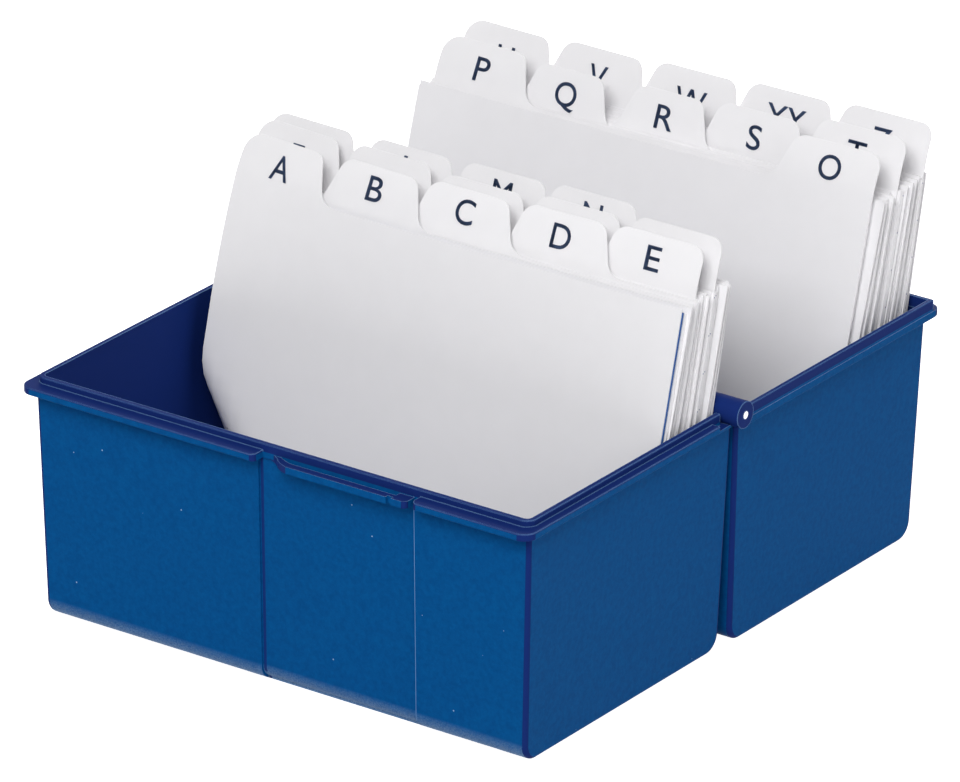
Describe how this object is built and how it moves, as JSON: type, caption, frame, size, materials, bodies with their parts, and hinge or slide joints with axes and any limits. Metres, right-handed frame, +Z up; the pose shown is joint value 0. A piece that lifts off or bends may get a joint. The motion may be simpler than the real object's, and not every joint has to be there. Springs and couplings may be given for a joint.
{
  "type": "index card box",
  "caption": "Hinged index card box: an open plastic tray with a matching tray behind it as its lid, filed with plain cards behind lettered alphabet guides.",
  "frame": {"origin": "middle of the front tray's underside, on the table", "axes": "+X to the right along the hinge, +Y from the front wall to the rear tray, +Z up"},
  "size_m": [0.168, 0.1926, 0.1164],
  "materials": {
    "blue_plastic": "moulded navy blue plastic, fine grain, satin gloss",
    "steel": "bright drawn steel wire",
    "guide_card": "matt white card stock with dark blue-grey letters",
    "record_card": "matt white card, faintly ruled"
  },
  "bodies": {
    "front_tray": {"front_tray": "blue_plastic"},
    "rear_tray": {"rear_tray": "blue_plastic", "hinge_pin": "steel"},
    "leaf_a": {"guide_a": "guide_card", "cards_a": "record_card"},
    "leaf_b": {"guide_b": "guide_card", "cards_b": "record_card"},
    "leaf_c": {"guide_c": "guide_card", "cards_c": "record_card"},
    "leaf_d": {"guide_d": "guide_card", "cards_d": "record_card"},
    "leaf_e": {"guide_e": "guide_card", "cards_e": "record_card"},
    "leaf_f": {"guide_f": "guide_card", "cards_f": "record_card"},
    "leaf_g": {"guide_g": "guide_card", "cards_g": "record_card"},
    "leaf_h": {"guide_h": "guide_card", "cards_h": "record_card"},
    "leaf_i": {"guide_i": "guide_card", "cards_i": "record_card"},
    "leaf_j": {"guide_j": "guide_card", "cards_j": "record_card"},
    "leaf_k": {"guide_k": "guide_card", "cards_k": "record_card"},
    "leaf_l": {"guide_l": "guide_card", "cards_l": "record_card"},
    "leaf_m": {"guide_m": "guide_card", "cards_m": "record_card"},
    "leaf_n": {"guide_n": "guide_card", "cards_n": "record_card"},
    "leaf_o": {"guide_o": "guide_card", "cards_o": "record_card"},
    "leaf_p": {"guide_p": "guide_card", "cards_p": "record_card"},
    "leaf_q": {"guide_q": "guide_card", "cards_q": "record_card"},
    "leaf_r": {"guide_r": "guide_card", "cards_r": "record_card"},
    "leaf_s": {"guide_s": "guide_card", "cards_s": "record_card"},
    "leaf_t": {"guide_t": "guide_card", "cards_t": "record_card"},
    "leaf_u": {"guide_u": "guide_card", "cards_u": "record_card"},
    "leaf_v": {"guide_v": "guide_card", "cards_v": "record_card"},
    "leaf_w": {"guide_w": "guide_card", "cards_w": "record_card"},
    "leaf_xy": {"guide_xy": "guide_card", "cards_xy": "record_card"},
    "leaf_z": {"guide_z": "guide_card", "cards_z": "record_card"}
  },
  "joints": [
    {"name": "lid_swing", "type": "hinge", "parent": "front_tray", "child": "rear_tray", "pos_m": [0, 0.04476, 0.06865], "axis": [1, 0, 0], "range_deg": [0, 180]},
    {"name": "tilt_a", "type": "hinge", "parent": "front_tray", "child": "leaf_a", "pos_m": [0, 0.00105, 0.00175], "axis": [1, 0, 0], "range_deg": [0, 3.8]},
    {"name": "tilt_b", "type": "hinge", "parent": "front_tray", "child": "leaf_b", "pos_m": [0, 0.0034, 0.00175], "axis": [1, 0, 0], "range_deg": [0, 3.95]},
    {"name": "tilt_c", "type": "hinge", "parent": "front_tray", "child": "leaf_c", "pos_m": [0, 0.00576, 0.00175], "axis": [1, 0, 0], "range_deg": [0, 4.11]},
    {"name": "tilt_d", "type": "hinge", "parent": "front_tray", "child": "leaf_d", "pos_m": [0, 0.00812, 0.00175], "axis": [1, 0, 0], "range_deg": [0, 4.26]},
    {"name": "tilt_e", "type": "hinge", "parent": "front_tray", "child": "leaf_e", "pos_m": [0, 0.01047, 0.00175], "axis": [1, 0, 0], "range_deg": [0, 4.42]},
    {"name": "tilt_f", "type": "hinge", "parent": "front_tray", "child": "leaf_f", "pos_m": [0, 0.01283, 0.00175], "axis": [1, 0, 0], "range_deg": [0, 4.57]},
    {"name": "tilt_g", "type": "hinge", "parent": "front_tray", "child": "leaf_g", "pos_m": [0, 0.0144, 0.00175], "axis": [1, 0, 0], "range_deg": [0, 4.72]},
    {"name": "tilt_h", "type": "hinge", "parent": "front_tray", "child": "leaf_h", "pos_m": [0, 0.01597, 0.00175], "axis": [1, 0, 0], "range_deg": [0, 4.88]},
    {"name": "tilt_i", "type": "hinge", "parent": "front_tray", "child": "leaf_i", "pos_m": [0, 0.01754, 0.00175], "axis": [1, 0, 0], "range_deg": [0, 5.03]},
    {"name": "tilt_j", "type": "hinge", "parent": "front_tray", "child": "leaf_j", "pos_m": [0, 0.01911, 0.00175], "axis": [1, 0, 0], "range_deg": [0, 5.18]},
    {"name": "tilt_k", "type": "hinge", "parent": "front_tray", "child": "leaf_k", "pos_m": [0, 0.02068, 0.00175], "axis": [1, 0, 0], "range_deg": [0, 5.34]},
    {"name": "tilt_l", "type": "hinge", "parent": "front_tray", "child": "leaf_l", "pos_m": [0, 0.02225, 0.00175], "axis": [1, 0, 0], "range_deg": [0, 5.49]},
    {"name": "tilt_m", "type": "hinge", "parent": "front_tray", "child": "leaf_m", "pos_m": [0, 0.02382, 0.00175], "axis": [1, 0, 0], "range_deg": [0, 5.65]},
    {"name": "tilt_n", "type": "hinge", "parent": "front_tray", "child": "leaf_n", "pos_m": [0, 0.0254, 0.00175], "axis": [1, 0, 0], "range_deg": [0, 5.8]},
    {"name": "tilt_o", "type": "hinge", "parent": "rear_tray", "child": "leaf_o", "pos_m": [0, 0.08916, 0.00175], "axis": [1, 0, 0], "range_deg": [0, 12.5]},
    {"name": "tilt_p", "type": "hinge", "parent": "rear_tray", "child": "leaf_p", "pos_m": [0, 0.09221, 0.00175], "axis": [1, 0, 0], "range_deg": [0, 12.67]},
    {"name": "tilt_q", "type": "hinge", "parent": "rear_tray", "child": "leaf_q", "pos_m": [0, 0.09525, 0.00175], "axis": [1, 0, 0], "range_deg": [0, 12.84]},
    {"name": "tilt_r", "type": "hinge", "parent": "rear_tray", "child": "leaf_r", "pos_m": [0, 0.0983, 0.00175], "axis": [1, 0, 0], "range_deg": [0, 13.01]},
    {"name": "tilt_s", "type": "hinge", "parent": "rear_tray", "child": "leaf_s", "pos_m": [0, 0.10135, 0.00175], "axis": [1, 0, 0], "range_deg": [0, 13.18]},
    {"name": "tilt_t", "type": "hinge", "parent": "rear_tray", "child": "leaf_t", "pos_m": [0, 0.1044, 0.00175], "axis": [1, 0, 0], "range_deg": [0, 13.35]},
    {"name": "tilt_u", "type": "hinge", "parent": "rear_tray", "child": "leaf_u", "pos_m": [0, 0.10744, 0.00175], "axis": [1, 0, 0], "range_deg": [0, 13.52]},
    {"name": "tilt_v", "type": "hinge", "parent": "rear_tray", "child": "leaf_v", "pos_m": [0, 0.11049, 0.00175], "axis": [1, 0, 0], "range_deg": [0, 13.69]},
    {"name": "tilt_w", "type": "hinge", "parent": "rear_tray", "child": "leaf_w", "pos_m": [0, 0.11354, 0.00175], "axis": [1, 0, 0], "range_deg": [0, 13.86]},
    {"name": "tilt_xy", "type": "hinge", "parent": "rear_tray", "child": "leaf_xy", "pos_m": [0, 0.11658, 0.00175], "axis": [1, 0, 0], "range_deg": [0, 14.03]},
    {"name": "tilt_z", "type": "hinge", "parent": "rear_tray", "child": "leaf_z", "pos_m": [0, 0.11963, 0.00175], "axis": [1, 0, 0], "range_deg": [0, 14.2]}
  ],
  "couplings": [
    {"joint": "tilt_a", "follows": "lid_swing", "ratio": 0.021111},
    {"joint": "tilt_b", "follows": "lid_swing", "ratio": 0.021966},
    {"joint": "tilt_c", "follows": "lid_swing", "ratio": 0.022822},
    {"joint": "tilt_d", "follows": "lid_swing", "ratio": 0.023677},
    {"joint": "tilt_e", "follows": "lid_swing", "ratio": 0.024527},
    {"joint": "tilt_f", "follows": "lid_swing", "ratio": 0.025383},
    {"joint": "tilt_g", "follows": "lid_swing", "ratio": 0.026238},
    {"joint": "tilt_h", "follows": "lid_swing", "ratio": 0.027094},
    {"joint": "tilt_i", "follows": "lid_swing", "ratio": 0.02795},
    {"joint": "tilt_j", "follows": "lid_swing", "ratio": 0.028805},
    {"joint": "tilt_k", "follows": "lid_swing", "ratio": 0.029655},
    {"joint": "tilt_l", "follows": "lid_swing", "ratio": 0.030511},
    {"joint": "tilt_m", "follows": "lid_swing", "ratio": 0.031366},
    {"joint": "tilt_n", "follows": "lid_swing", "ratio": 0.032222},
    {"joint": "tilt_o", "follows": "lid_swing", "ratio": 0.069444},
    {"joint": "tilt_p", "follows": "lid_swing", "ratio": 0.070388},
    {"joint": "tilt_q", "follows": "lid_swing", "ratio": 0.071333},
    {"joint": "tilt_r", "follows": "lid_swing", "ratio": 0.072277},
    {"joint": "tilt_s", "follows": "lid_swing", "ratio": 0.073222},
    {"joint": "tilt_t", "follows": "lid_swing", "ratio": 0.074166},
    {"joint": "tilt_u", "follows": "lid_swing", "ratio": 0.075111},
    {"joint": "tilt_v", "follows": "lid_swing", "ratio": 0.076055},
    {"joint": "tilt_w", "follows": "lid_swing", "ratio": 0.077},
    {"joint": "tilt_xy", "follows": "lid_swing", "ratio": 0.077944},
    {"joint": "tilt_z", "follows": "lid_swing", "ratio": 0.078888}
  ]
}
